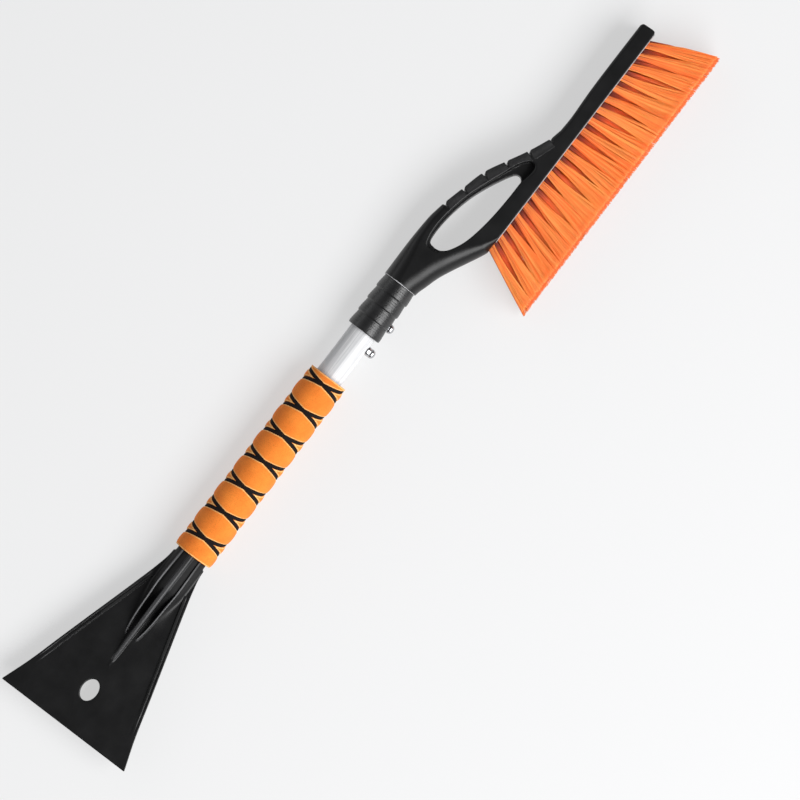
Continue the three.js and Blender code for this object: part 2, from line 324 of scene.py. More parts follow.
def steps_between(low, high, step):
    """Even grid lines from low to high, at most a step apart."""
    return np.linspace(low, high, max(2, math.ceil((high - low) / step) + 1))


def crossings(values, axes):
    """The points where grid lines cross zero, the four cells round each of those, and whether the
    values rise there."""
    inside = values < 0
    points, cells, rising = [], [], []
    for axis in range(3):
        first, last = [slice(None)] * 3, [slice(None)] * 3
        first[axis], last[axis] = slice(None, -1), slice(1, None)
        base = np.argwhere(inside[tuple(first)] != inside[tuple(last)])
        step = np.zeros(3, int)
        step[axis] = 1
        a, b = values[tuple(base.T)], values[tuple((base + step).T)]
        point = np.stack([axes[d][base[:, d]] for d in range(3)], 1)
        lengths = axes[axis][base[:, axis] + 1] - axes[axis][base[:, axis]]
        point[:, axis] += a / (a - b) * lengths
        u, v = (axis + 1) % 3, (axis + 2) % 3
        corners = np.repeat(base[:, None, :], 4, axis=1)
        corners[:, (0, 3), u] -= 1
        corners[:, (0, 1), v] -= 1
        points.append(point)
        cells.append(corners)
        rising.append(a < 0)
    return np.concatenate(points), np.concatenate(cells), np.concatenate(rising)


def surface(field, xs, ys, zs, narrowing=None):
    """The zero surface of a signed distance field, as quads with their corners moved on to it, and its
    normals. A narrowing scales the grid's y at each x, so that its lines follow a tapered shape."""
    axes = (xs, ys, zs)
    narrow = narrowing or np.ones_like
    values = field(xs[:, None, None], ys[None, :, None] * narrow(xs)[:, None, None], zs[None, None, :])
    values = np.ascontiguousarray(np.broadcast_to(values, (len(xs), len(ys), len(zs))))
    points, cells, rising = crossings(values, axes)
    keys = np.ravel_multi_index(np.moveaxis(cells, 2, 0), values.shape)
    # Each cell that the surface runs through gets one corner, amid the crossings on that cell's edges.
    unique, index = np.unique(keys, return_inverse=True)
    index = index.reshape(keys.shape)
    counts = np.bincount(index.ravel(), minlength=len(unique))
    spread = np.repeat(points, 4, axis=0)
    corners = np.stack([np.bincount(index.ravel(), spread[:, d], len(unique)) / counts
                        for d in range(3)], 1)
    index[~rising] = index[~rising][:, ::-1]
    corners[:, 1] *= narrow(corners[:, 0])
    reach = 0.5 * min(np.diff(axis).min() for axis in axes)
    for _ in range(3):
        corners = moved_on_to(field, corners, reach)
    normals = slope_at(field, corners, 0.1)
    normals /= np.maximum(np.linalg.norm(normals, axis=1), 1e-6)[:, None]
    return corners, index.tolist(), normals


def slope_at(field, points, step):
    """How steeply the field rises along each axis."""
    return np.stack([(field(*(points + offset).T) - field(*(points - offset).T)) / (2 * step)
                     for offset in np.eye(3) * step], 1)


def moved_on_to(field, points, reach):
    """The points, each moved towards the zero surface by at most the reach."""
    value = field(*points.T)
    slope = slope_at(field, points, 0.02)
    move = -value[:, None] * slope / np.maximum((slope ** 2).sum(1), 0.05)[:, None]
    length = np.linalg.norm(move, axis=1)[:, None]
    return points + move * np.minimum(1, reach / np.maximum(length, 1e-9))


# ---- Materials ----

# Bump depths, in metres.
HAIRLINE, FINE_GRAIN, COARSE_GRAIN = 0.00002, 0.00003, 0.0004


def feed(tree, value, socket):
    """Links a socket to another one, or sets it to a number, a vector or a colour."""
    if isinstance(value, bpy.types.NodeSocket):
        tree.links.new(value, socket)
    else:
        socket.default_value = (*value, 1) if socket.type == "RGBA" else value


def node(tree, kind, inputs=None, **settings):
    """A new shader node with its inputs fed and its settings made."""
    made = tree.nodes.new("ShaderNode" + kind)
    for name, value in settings.items():
        setattr(made, name, value)
    for name, value in (inputs or {}).items():
        feed(tree, value, made.inputs[name])
    return made


def new_material(name, **constants):
    """A material and its node tree, with constants on the shader's own sockets."""
    material = bpy.data.materials.new(name)
    material.use_nodes = True
    tree = material.node_tree
    shader = tree.nodes["Principled BSDF"]
    for socket, value in constants.items():
        feed(tree, value, shader.inputs[socket.replace("_", " ")])
    return material, tree


def finished(material, colour, roughness, normal):
    """The material, with the three sockets that every surface here varies."""
    tree = material.node_tree
    shader = tree.nodes["Principled BSDF"]
    for socket, value in (("Base Color", colour), ("Roughness", roughness), ("Normal", normal)):
        feed(tree, value, shader.inputs[socket])
    return material


def place_in(tree, stretch=(1, 1, 1)):
    """Object coordinates, in metres, stretched along each axis."""
    coordinates = node(tree, "TexCoord").outputs["Object"]
    return node(tree, "Mapping", {"Vector": coordinates, "Scale": stretch}).outputs["Vector"]


def noise(tree, vector, scale, detail=3.0, roughness=0.55):
    return node(tree, "TexNoise", {"Vector": vector, "Scale": scale, "Detail": detail,
                                   "Roughness": roughness}).outputs["Fac"]


def dots(tree, vector, scale):
    """Distance from the middle of the nearest dot, in dots."""
    return node(tree, "TexVoronoi", {"Vector": vector, "Scale": scale}).outputs["Distance"]


def ramp(tree, value, low, high, to_low=0.0, to_high=1.0, **settings):
    return node(tree, "MapRange", {"Value": value, "From Min": low, "From Max": high,
                                   "To Min": to_low, "To Max": to_high}, **settings).outputs["Result"]


def maths(tree, operation, a, b):
    return node(tree, "Math", {0: a, 1: b}, operation=operation).outputs["Value"]


def summed(tree, a, a_weight, b, b_weight):
    """a and b, each times its weight, added up."""
    return maths(tree, "ADD", maths(tree, "MULTIPLY", a, a_weight), maths(tree, "MULTIPLY", b, b_weight))


def mixed(tree, share, a, b):
    """Colour a, or colour b where the share is 1."""
    return node(tree, "Mix", {0: share, 6: a, 7: b}, data_type="RGBA").outputs[2]


def stored(tree, key):
    """A number that add_values() put on the points of the piece, or 0 on a piece without it."""
    return node(tree, "Attribute", attribute_name=key).outputs["Fac"]


def bump(tree, height, distance, strength=1.0, after=None):
    inputs = {"Height": height, "Distance": distance, "Strength": strength}
    if after is not None:
        inputs["Normal"] = after
    return node(tree, "Bump", inputs).outputs["Normal"]


def edge_wear_and_highlight(tree):
    """1 on convex edges, broken up by noise, and 0 on flat faces, for edges that are lighter partly from wear
    and partly as painted highlight.
    """
    edge = ramp(tree, node(tree, "NewGeometry").outputs["Pointiness"], 0.56, 0.72)
    patches = ramp(tree, noise(tree, place_in(tree), 90, 4), 0.38, 0.66)
    return maths(tree, "MULTIPLY", edge, patches)


def moulded_black():
    """Moulded black plastic: fine grain, faint flow marks, convex edges a little lighter, partly from wear
    and partly as painted highlight, and a pale painted highlight where a piece stores one.
    """
    material, tree = new_material("black_plastic", Specular_IOR_Level=0.36)
    place = place_in(tree)
    flow = ramp(tree, noise(tree, place_in(tree, (1, 3, 3)), 18, 4), 0.3, 0.75)
    edges = edge_wear_and_highlight(tree)
    colours = mixed(tree, flow, (0.0048, 0.0048, 0.00496), (0.0075, 0.0075, 0.00775))
    # Convex edges lighter: partly wear, partly painted highlight.
    colours = mixed(tree, edges, colours, (0.035, 0.035, 0.036))
    # Painted highlight: pale where a piece stores it, on the blade's crest and side rib tops.
    colours = mixed(tree, stored(tree, "rubbed"), colours, (0.17, 0.17, 0.175))
    patches = ramp(tree, noise(tree, place, 60, 5), 0.3, 0.7, 0.28, 0.39)
    duller = summed(tree, edges, 0.12, stored(tree, "recess"), 0.42)
    grain = bump(tree, noise(tree, place, 2600, 2), FINE_GRAIN, 0.6)
    scratches = ramp(tree, noise(tree, place_in(tree, (0.15, 3, 1)), 900, 2), 0.62, 0.7)
    return finished(material, colours, maths(tree, "ADD", patches, duller),
                    bump(tree, scratches, HAIRLINE, 0.25, grain))


def soft_black():
    """Soft-touch black rubber with a stippled skin, which is plainer where a piece says so."""
    material, tree = new_material("soft_black", Specular_IOR_Level=0.7)
    place = place_in(tree)
    dust = ramp(tree, noise(tree, place, 130, 5), 0.45, 0.75)
    stipple = ramp(tree, dots(tree, place, 1150), 0.0, 0.55, 1.0, 0.0)
    strength = ramp(tree, stored(tree, "plain"), 0.0, 1.0, 0.7, 0.1)
    return finished(material, mixed(tree, dust, (0.007, 0.007, 0.0072), (0.014, 0.014, 0.0145)),
                    ramp(tree, noise(tree, place, 220, 3), 0.3, 0.7, 0.3, 0.36),
                    bump(tree, stipple, 0.00009, strength))


def foam(name, deep, light, highlight_colour, spread, roughness, pore_depth, sheen):
    """Closed-cell foam: fine open pores, painted darker as shade in them, cloudy colour, a dull, slightly
    fuzzy skin, and a pale painted highlight along the rolled edges of a piece that stores rim values.
    """
    material, tree = new_material(name, Specular_IOR_Level=0.2, Sheen_Weight=sheen, Sheen_Roughness=0.6)
    place = place_in(tree)
    open_pores = ramp(tree, dots(tree, place, 1500), 0.08, 0.3)
    clouds = noise(tree, place, spread, 5, 0.6)
    fine = noise(tree, place, 900, 3)
    skin = mixed(tree, ramp(tree, summed(tree, clouds, 0.7, fine, 0.3), 0.35, 0.65), deep, light)
    # Painted highlight: pale along the rolled edges of the diamonds.
    rim_highlights = maths(tree, "MULTIPLY", stored(tree, "rim"), ramp(tree, fine, 0.3, 0.6, 0.5, 1.0))
    skin = mixed(tree, rim_highlights, skin, highlight_colour)
    # Painted shade: the open pores are darker than the skin around them.
    pore_shade = tuple(0.45 * channel for channel in deep)
    return finished(material, mixed(tree, open_pores, pore_shade, skin),
                    ramp(tree, fine, 0.3, 0.7, roughness - 0.08, roughness + 0.04),
                    bump(tree, open_pores, pore_depth, 0.8, bump(tree, clouds, COARSE_GRAIN, 0.25)))


def brushed_aluminium():
    """Satin aluminium, drawn along its length, with fine drawing streaks and wide lighter and darker bands
    along it that are painted reflections.
    """
    material, tree = new_material("aluminium", Metallic=0.1, Specular_IOR_Level=0.2)
    streaks = noise(tree, place_in(tree, (0.012, 1, 1)), 1500, 3)
    reflection_bands = noise(tree, place_in(tree, (0.05, 1, 1)), 160, 3)
    # Painted reflection: the wide bands lighten and darken the tube along its length.
    grain_and_reflections = summed(tree, streaks, 0.45, reflection_bands, 0.55)
    return finished(material,
                    mixed(tree, ramp(tree, grain_and_reflections, 0.4, 0.6), (0.58, 0.585, 0.592), (0.8, 0.8, 0.805)),
                    ramp(tree, grain_and_reflections, 0.3, 0.7, 0.78, 0.66), bump(tree, streaks, HAIRLINE, 0.35))


def chrome():
    """Bright chrome plate with faint smudges."""
    material, tree = new_material("chrome", Metallic=1.0)
    place = place_in(tree)
    smudges = noise(tree, place, 420, 4)
    return finished(material, mixed(tree, smudges, (0.5, 0.505, 0.52), (0.62, 0.625, 0.64)),
                    ramp(tree, smudges, 0.35, 0.7, 0.06, 0.2),
                    bump(tree, noise(tree, place, 1800, 2), 0.5 * HAIRLINE, 0.3))


def spring_steel():
    """Bare spring steel with rolling marks and a little brown staining."""
    material, tree = new_material("spring_steel", Metallic=1.0)
    rolled = noise(tree, place_in(tree, (0.1, 1, 1)), 1400, 3)
    stains = ramp(tree, noise(tree, place_in(tree), 260, 5), 0.55, 0.75)
    steel = mixed(tree, rolled, (0.34, 0.34, 0.36), (0.55, 0.55, 0.57))
    return finished(material, mixed(tree, stains, steel, (0.24, 0.19, 0.14)),
                    ramp(tree, rolled, 0.3, 0.7, 0.28, 0.46), bump(tree, rolled, HAIRLINE, 0.4))


def pale_plastic():
    """The pale grey plastic of the bristle carrier and the head's seam."""
    material, tree = new_material("grey_plastic", Specular_IOR_Level=0.5)
    place = place_in(tree)
    grime = ramp(tree, noise(tree, place, 240, 5), 0.45, 0.75)
    return finished(material, mixed(tree, grime, (0.46, 0.46, 0.47), (0.3, 0.29, 0.29)),
                    ramp(tree, noise(tree, place, 500, 3), 0.3, 0.7, 0.4, 0.55),
                    bump(tree, noise(tree, place, 2600, 2), 2 * HAIRLINE, 0.5))


def bristle_fibre():
    """Orange monofilament, clear orange along its length, pale at the cut ends of the front row, and with
    painted shade: dark red deep in the tufts, near black at the roots and a darker red band just short of the
    tips. A filament's depth says how strongly this painted shade shows on it."""
    material, tree = new_material("orange_bristle", Specular_IOR_Level=0.4)
    reach, tone, depth = (stored(tree, key) for key in ("reach", "tone", "depth"))
    streak = noise(tree, place_in(tree, (1, 0.06, 1)), 700, 3)
    tones = ramp(tree, summed(tree, tone, 0.75, streak, 0.25), 0.2, 0.8)
    fibre = mixed(tree, tones, (0.98, 0.18, 0.012), (1.0, 0.39, 0.065))
    # Painted shade, as strong as the filament's depth: dark red deep in the tufts, near black at the roots,
    # darker red just short of the tips.
    for start, end, at_start, at_end, shade_colour in (
            (0.1, 0.65, 1.25, 0.35, (0.95, 0.075, 0.004)),
            (0.03, 0.26, 1.25, 0.0, (0.06, 0.004, 0.004)),
            (0.86, 0.96, 0.0, 1.1, (0.82, 0.12, 0.012))):
        share = maths(tree, "MULTIPLY", ramp(tree, reach, start, end, at_start, at_end), depth)
        fibre = mixed(tree, share, fibre, shade_colour)
    tips = summed(tree, ramp(tree, reach, 0.97, 1.0), 0.9, depth, -2.6)
    return finished(material, mixed(tree, maths(tree, "MAXIMUM", tips, 0.0), fibre, (1.0, 0.55, 0.17)),
                    ramp(tree, tones, 0.0, 1.0, 0.52, 0.34),
                    bump(tree, noise(tree, place_in(tree, (1, 0.2, 1)), 3000, 2), FINE_GRAIN, 0.4))


MATERIALS = {
    "black_plastic": moulded_black(),
    "soft_black": soft_black(),
    "orange_foam": foam("orange_foam", deep=(0.84, 0.2, 0.022), light=(0.96, 0.275, 0.035),
                        highlight_colour=(1.0, 0.66, 0.25), spread=70, roughness=0.86, pore_depth=0.00008, sheen=0.06),
    "black_foam": foam("black_foam", deep=(0.006, 0.0035, 0.003), light=(0.012, 0.008, 0.008),
                       highlight_colour=(0.012, 0.008, 0.008), spread=120, roughness=0.9, pore_depth=0.00012, sheen=0.0),
    "aluminium": brushed_aluminium(),
    "chrome": chrome(),
    "spring_steel": spring_steel(),
    "grey_plastic": pale_plastic(),
    "orange_bristle": bristle_fibre(),
}


# ---- Scraper blade ----

BLADE_HALF_WIDTH = [(0, 58.1), (24, 49.8), (51.3, 42), (77, 34.6), (102.7, 27.1), (123.6, 21.1),
                    (138.7, 17), (151.6, 14.3), (161, 13.6)]
CREST_HEIGHT = [(59.5, 1.2), (63, 2.4), (130, COLLAR_RADIUS), (161, COLLAR_RADIUS)]
CREST_HALF_WIDTH = [(59, 0.9), (63, 1.35), (75, 1.6), (95, 1.8), (134, 2.2), (161, 2.3)]
SIDE_RIB_Y = [(83, 4.8), (88, 5.8), (94, 6.7), (104, 7.6), (118, 8.2), (131, 8.8), (161, 8.0)]
SIDE_RIB_HEIGHT = [(83.5, 1.2), (86, 2.2), (130, 11.9), (161, 11.9)]
BARREL_HALF_WIDTH = [(92, 6), (104, 8.5), (118, 11), (131, 12.7), (161, 12.7)]
BARREL_HALF_HEIGHT = [(92, 0.8), (103, 2.0), (114, 4.8), (124, 9.4), (131, 12.6), (161, 12.6)]
PLATE_END, BARREL_START, CREST_START, RIB_START = 156, 92, 57, 83
HANG_HOLE_X, HANG_HOLE_LENGTH, HANG_HOLE_WIDTH = 33.3, 9.0, 6.3
SCREW_TOP = -14.0
SCREW_X = sum(along("neck_screw")) / 2


def blade_field(x, y, z):
    """A plate with edge rims, a round neck, a tall middle crest and two side ribs."""
    half_width = follow(x, BLADE_HALF_WIDTH)
    slope = follow(x + 0.5, BLADE_HALF_WIDTH) - follow(x - 0.5, BLADE_HALF_WIDTH)
    side = (np.abs(y) - half_width) / np.sqrt(1 + slope ** 2)
    outline = both(both(side, -x, 0.8), x - PLATE_END)
    # A thin groove runs along the inside of each rim, and both fade out towards the edge and the neck.
    inset = -side
    groove = smoothstep(1.2, 1.8, inset) * (1 - smoothstep(2.2, 2.8, inset))
    rim = 1.15 * (1 - smoothstep(4.1, 4.8, inset)) - 0.6 * groove
    rim = rim * smoothstep(22, 62, x) * (1 - smoothstep(124, 136, x))
    # The scraping edge is bevelled on the underside.
    top = 1.15 + 0.35 * smoothstep(-2, 10, x) + rim
    bottom = 1.5 - 1.85 * (1 - smoothstep(-1, 12, x)) + rim
    plate = both(outline, np.maximum(z - top, -bottom - z) * 0.9, 0.3)
    across, up = follow(x, BARREL_HALF_WIDTH), follow(x, BARREL_HALF_HEIGHT)
    barrel = (np.hypot(y / across, z / up) - 1) * np.minimum(across, up)
    barrel = both(barrel, np.maximum(BARREL_START - x, x - NECK_END), 0.5)
    body = blended(plate, barrel, 2.4)
    crest_width = follow(x, CREST_HALF_WIDTH)
    crest = both(np.abs(y) - crest_width, (np.abs(z) - follow(x, CREST_HEIGHT)) * 0.9, 0.95 * crest_width)
    crest = all_of(crest, CREST_START - x, x - NECK_END)
    rib = both(np.abs(np.abs(y) - follow(x, SIDE_RIB_Y)) - 0.7,
               (np.abs(z) - follow(x, SIDE_RIB_HEIGHT)) * 0.9, 0.5)
    rib = all_of(rib, RIB_START - x, x - NECK_END)
    body = blended(blended(body, crest, 0.8), rib, 0.6)
    bore = np.maximum(rod(x, y, z, "x", (0, 0, 0), BORE_RADIUS), TUBE_START - 0.3 - x)
    oval = (np.hypot((x - HANG_HOLE_X) / HANG_HOLE_LENGTH, y / HANG_HOLE_WIDTH) - 1) * HANG_HOLE_WIDTH
    seat = np.maximum(rod(x, y, z, "z", (SCREW_X, 0, 0), 3.5), z - (SCREW_TOP + 1.7))
    shank = np.maximum(rod(x, y, z, "z", (SCREW_X, 0, 0), 1.9), z)
    return without(all_of(body, -bore, -seat, -shank), oval, 0.9)


def scraper_blade():
    """The blade, on a grid that narrows with it and is finest along its rims and at the screw."""
    fine = steps_between(-3.4, 3.4, 0.7 * CELL)
    beyond = steps_between(3.4, 15.2, CELL)[1:]
    zs = np.concatenate([-beyond[::-1], fine, beyond])
    middle = steps_between(-43, 43, 1.3 * CELL)
    rim_highlights = steps_between(43, 60, 0.65 * CELL)[1:]
    outer = np.concatenate([rim_highlights, steps_between(60, 67, 1.3 * CELL)[1:]])
    ys = np.concatenate([-outer[::-1], middle, outer])
    stretches = [(-1.3, 66, 1.35), (66, SCREW_X - 5, 2.25), (SCREW_X - 5, SCREW_X + 5, 1.0),
                 (SCREW_X + 5, NECK_END + 1.3, 1.4)]
    xs = np.concatenate([[stretches[0][0]]] + [steps_between(low, high, cells * CELL)[1:]
                                               for low, high, cells in stretches])
    widest = BLADE_HALF_WIDTH[0][1]
    shape = surface(blade_field, xs, ys, zs, lambda x: follow(np.maximum(x, 0), BLADE_HALF_WIDTH) / widest)
    piece = new_piece("scraper_blade_moulding", shape, "handle", "black_plastic", "scraper_blade")
    x, y, z = shape[0].T
    # Dull between the ribs of the neck, and a pale painted highlight on their crests.
    off_crest = smoothstep(0.2, 0.8, np.abs(y) - follow(x, CREST_HALF_WIDTH))
    rib_away = np.abs(np.abs(y) - follow(x, SIDE_RIB_Y))
    off_rib = smoothstep(0.5, 1.1, rib_away)
    on_neck = smoothstep(84, 92, x)
    crest_top = smoothstep(-2.5, -0.5, np.abs(z) - follow(x, CREST_HEIGHT)) * smoothstep(60, 66, x)
    rib_top = smoothstep(-1.4, -0.5, np.abs(z) - follow(x, SIDE_RIB_HEIGHT)) * smoothstep(83, 87, x)
    # Painted highlight: a pale line along the crest and the side ribs' tops, weaker towards the tube.
    rubbed = 0.3 * (1 - off_crest) * crest_top + (1 - smoothstep(0.2, 0.75, rib_away)) * rib_top
    add_values(piece, recess=on_neck * off_crest * off_rib * smoothstep(1.7, 2.6, np.abs(z)),
               rubbed=rubbed * (1 - 0.5 * smoothstep(140, 158, x)))


def screw_field(x, y, z):
    """A pan head with a cross recess, on a threaded shank."""
    away, down = np.hypot(x - SCREW_X, y), z - SCREW_TOP
    head = both(both(away - 3.2, np.hypot(away, down - 7.2) - 7.2, 0.35), down - 1.5, 0.1)
    thread = 1.55 + 0.12 * np.sin(down * 2 * math.pi / 0.9)
    shank = both(away - thread, within(down, 0.9, 5.9))
    long, short = 1.9, 0.38
    cross = np.minimum(both(np.abs(x - SCREW_X) - long, np.abs(y) - short, 0.15),
                       both(np.abs(y) - long, np.abs(x - SCREW_X) - short, 0.15))
    return without(np.minimum(head, shank), np.maximum(cross, down - 1.0), 0.12)


def neck_screw():
    """The screw that holds the tube in the scraper's neck."""
    step = 0.14
    shape = surface(screw_field, steps_between(SCREW_X - 3.6, SCREW_X + 3.6, step),
                    steps_between(-3.6, 3.6, step), steps_between(SCREW_TOP - 0.5, SCREW_TOP + 6.5, step))
    new_piece("neck_screw_head", shape, "handle", "spring_steel", "neck_screw")


# ---- Foam grip ----

# Two lines are wound in opposite directions. They cross at the front every PITCH, first at CROSSING.
CROSSING, PITCH, SKEW = 177.6, 24.2, 0.314
LINE_HALF_WIDTH, LINE_RADIUS = 1.3, 16
SOFTNESS = 2.2
COVER_INSIDE, EDGE_RADIUS, ROLL = 14.25, 14.85, 1.0
CORE_RADIUS = 14.2


def wind(angle):
    """How far the wound lines have gone round at an angle from the front. They lie flatter there."""
    return angle - SKEW * np.sin(angle)


WIND_TABLE = np.linspace(-1.5 * math.pi, 2.5 * math.pi, 4001)
ONE_TURN = np.linspace(0, 2 * math.pi, 721)


def unwind(turned):
    """The angle at which the wound lines have gone round this far."""
    return np.interp(turned, wind(WIND_TABLE), WIND_TABLE)


def line_distances(x, angle):
    """Distances in millimetres from the nearest groove edge on each side, for both sets of lines."""
    steep = np.hypot(1 / PITCH, (1 - SKEW * np.cos(angle)) / (2 * math.pi * LINE_RADIUS))
    found = []
    for sign in (-1, 1):
        cell = (x - CROSSING) / PITCH + sign * wind(angle) / (2 * math.pi)
        share = cell - np.floor(cell)
        found += [share / steep - LINE_HALF_WIDTH, (1 - share) / steep - LINE_HALF_WIDTH]
    return found


def cover_radius(x, angle):
    """Each foam diamond swells to the full radius and rolls over into the grooves and the ends."""
    distances = line_distances(x, angle) + [(x - GRIP_START + 0.5) * 1.2, (GRIP_END + 0.5 - x) * 1.2]
    soft = -SOFTNESS * np.log(sum(np.exp(-np.clip(d, -3, 60) / SOFTNESS) for d in distances))
    nearest = np.minimum.reduce(distances)
    edge = np.clip(nearest / ROLL, 0, 1)
    rolled = ROLL * np.sqrt(1 - (1 - edge) ** 2)
    crown = (GRIP_RADIUS - 0.02 - EDGE_RADIUS - ROLL) * (1 - np.exp(-np.maximum(soft, 0) / 3.1)) / 0.955
    return np.minimum(EDGE_RADIUS + rolled + crown, GRIP_RADIUS - 0.01)


def rim_highlight_share(points):
    """1 along the rolled edge of each diamond and 0 over its middle, where the foam gets its pale painted
    highlight.
    """
    x, y, z = points.T
    distances = line_distances(x, np.arctan2(-y, z)) + [x - GRIP_START, GRIP_END - x]
    nearest = np.minimum.reduce(distances)
    return smoothstep(0.12, 0.4, nearest) * (1 - smoothstep(0.55, 1.15, nearest)) * (np.hypot(y, z) > 14.6)


def round_grid(rows, columns):
    """Faces of a closed shell of two sheets, the top of rows x columns points and the bottom below it."""
    def at(i, j, low):
        return (i * columns + j) + low * rows * columns
    faces = []
    for i in range(rows - 1):
        for j in range(columns - 1):
            quad = (at(i, j, 0), at(i + 1, j, 0), at(i + 1, j + 1, 0), at(i, j + 1, 0))
            faces.append(quad)
            faces.append(tuple(c + rows * columns for c in quad[::-1]))
    rim = [(i, 0) for i in range(rows - 1)] + [(rows - 1, j) for j in range(columns - 1)]
    rim += [(i, columns - 1) for i in range(rows - 1, 0, -1)] + [(0, j) for j in range(columns - 1, 0, -1)]
    for (a, b), (c, d) in zip(rim, rim[1:] + rim[:1]):
        faces.append((at(c, d, 0), at(a, b, 0), at(a, b, 1), at(c, d, 1)))
    return faces


def clipped(points, faces, low, high, extra):
    """Trims a shell to low <= x <= high, closes it, and adds cuts at the extra places."""
    bm = bmesh.new()
    for point in points:
        bm.verts.new(point)
    bm.verts.ensure_lookup_table()
    for face in faces:
        bm.faces.new([bm.verts[i] for i in face])
    xs = [v.co.x for v in bm.verts]
    for place in extra:
        if min(xs) < place < max(xs):
            bmesh.ops.bisect_plane(bm, geom=bm.verts[:] + bm.edges[:] + bm.faces[:], plane_co=(place, 0, 0),
                                   plane_no=(1, 0, 0))
    for place, side in ((low, -1), (high, 1)):
        if (place - min(xs)) * (place - max(xs)) < 0:
            cut = bmesh.ops.bisect_plane(bm, geom=bm.verts[:] + bm.edges[:] + bm.faces[:],
                                         plane_co=(place, 0, 0), plane_no=(side, 0, 0), clear_outer=True)
            edges = [e for e in cut["geom_cut"] if isinstance(e, bmesh.types.BMEdge)]
            bmesh.ops.holes_fill(bm, edges=edges)
    bm.verts.index_update()
    found = np.array([v.co[:] for v in bm.verts])
    found_faces = [tuple(v.index for v in f.verts) for f in bm.faces]
    bm.free()
    return found, found_faces


def wrapped(points):
    """From (x, angle, radius) to x, y, z. Angle 0 faces +z and a quarter turn faces -y."""
    x, angle, radius = points.T
    return np.stack([x, -radius * np.sin(angle), radius * np.cos(angle)], 1)


END_CUTS = [0.15, 0.4, 0.8, 1.4, 2.2, 3.2]


def grip_cover():
    """Sixteen foam diamonds, eight in front and eight behind. The grip's ends cut off two at each end."""
    count = 44
    even = np.linspace(0, 1, count)
    cosine = (1 - np.cos(math.pi * even)) / 2
    share = 0.35 * even + 0.65 * cosine
    extra = [GRIP_START + d for d in END_CUTS] + [GRIP_END - d for d in END_CUTS]
    first = math.floor((GRIP_START - CROSSING) / PITCH * 2) - 1
    last = math.ceil((GRIP_END - CROSSING) / PITCH * 2)
    shells = []
    for step in range(first, last):
        start, end = CROSSING + PITCH * step / 2, CROSSING + PITCH * (step + 2) / 2
        if end <= GRIP_START or GRIP_END <= start:
            continue
        middle = 0 if step % 2 == 0 else math.pi
        # a and b cross the diamond from 0 to 1, each between two lines of one winding.
        a, b = np.meshgrid(share, share, indexing="ij")
        inset = LINE_HALF_WIDTH / 24.0
        a, b = inset + (1 - 2 * inset) * a, inset + (1 - 2 * inset) * b
        x = CROSSING + PITCH * (step + a + b) / 2
        angle = unwind(middle + math.pi * (b - a))
        top = np.stack([x.ravel(), angle.ravel(), np.ones(x.size)], 1)
        points = np.concatenate([top, top * (1, 1, 0)])
        if x.min() < GRIP_START or x.max() > GRIP_END:
            points, faces = clipped(points, round_grid(count, count), GRIP_START, GRIP_END, extra)
        else:
            faces = round_grid(count, count)
        x, angle, level = points.T
        radius = COVER_INSIDE + level * (cover_radius(x, angle) - COVER_INSIDE)
        shells.append((wrapped(np.stack([x, angle, radius], 1)), faces))
    points, faces = joined(*shells)
    piece = new_piece("grip_foam_outer", (points, faces), "handle", "orange_foam", "grip_cover")
    # The rim values carry the painted highlight along the diamonds' edges.
    add_values(piece, rim=rim_highlight_share(points))
    crisp(piece, 60)


def grip_core():
    """A black foam sleeve, with the two wound ribs that show in the grooves of the orange foam."""
    wall = [(GRIP_START + 0.02, BORE_RADIUS), (GRIP_START + 0.02, CORE_RADIUS - 0.3),
            (GRIP_START + 0.3, CORE_RADIUS)]
    wall += [(GRIP_START + GRIP_END - x, r) for x, r in wall[::-1]]
    shells = [lathe(wall, 96, closed=True)]
    across = np.linspace(-1, 1, 9)
    turns_low = (GRIP_START - CROSSING) / PITCH - 0.15
    turns_high = (GRIP_END - CROSSING) / PITCH + 0.15
    steps = int((turns_high - turns_low) * (110))
    # One of the two ribs is lifted a little, so that they don't share a surface where they cross.
    for sign, lift in ((1, 0.0), (-1, 0.1)):
        turned = np.linspace(turns_low, turns_high, steps) * 2 * math.pi
        share = turned % (2 * math.pi)
        angle = np.interp(share, wind(ONE_TURN), ONE_TURN) + turned - share
        x = CROSSING + PITCH * turned / (2 * math.pi)
        width = 1.25 * LINE_HALF_WIDTH * across
        xs = x[:, None] + width[None, :]
        angles = np.repeat(sign * angle[:, None], len(across), 1)
        top = np.stack([xs.ravel(), angles.ravel(), np.ones(xs.size)], 1)
        points = np.concatenate([top, top * (1, 1, 0)])
        faces = round_grid(steps, len(across))
        if sign > 0:
            faces = [face[::-1] for face in faces]
        points, faces = clipped(points, faces, GRIP_START + 0.25, GRIP_END - 0.25, [])
        x, angle, level = points.T
        line = (x - CROSSING) / PITCH - sign * wind(angle) / (2 * math.pi)
        off = np.abs(line - np.round(line)) * PITCH / LINE_HALF_WIDTH
        crown = 15.15 + lift + 0.4 * (1 - np.clip(off, 0, 1.3) ** 2)
        ends = 1 - smoothstep(0.2, 2.0, np.minimum(x - GRIP_START, GRIP_END - x))
        radius = np.where(level > 0.5, crown - 0.5 * ends, 14.0)
        shells.append((wrapped(np.stack([x, angle, radius], 1)), faces))
    piece = new_piece("grip_foam_inner", joined(*shells), "handle", "black_foam", "grip_core")
    crisp(piece, 60)


# ---- Tube and locks ----

def button_cutter(place):
    """The round hole for a snap button, as a shell to cut with."""
    profile = [(5.0, 0.0), (5.0, BUTTON_HOLE), (20.0, BUTTON_HOLE), (20.0, 0.0)]
    points, faces = lathe(profile, 64)
    return turned_to_y(points) + (BUTTONS[place], 0, 0), faces


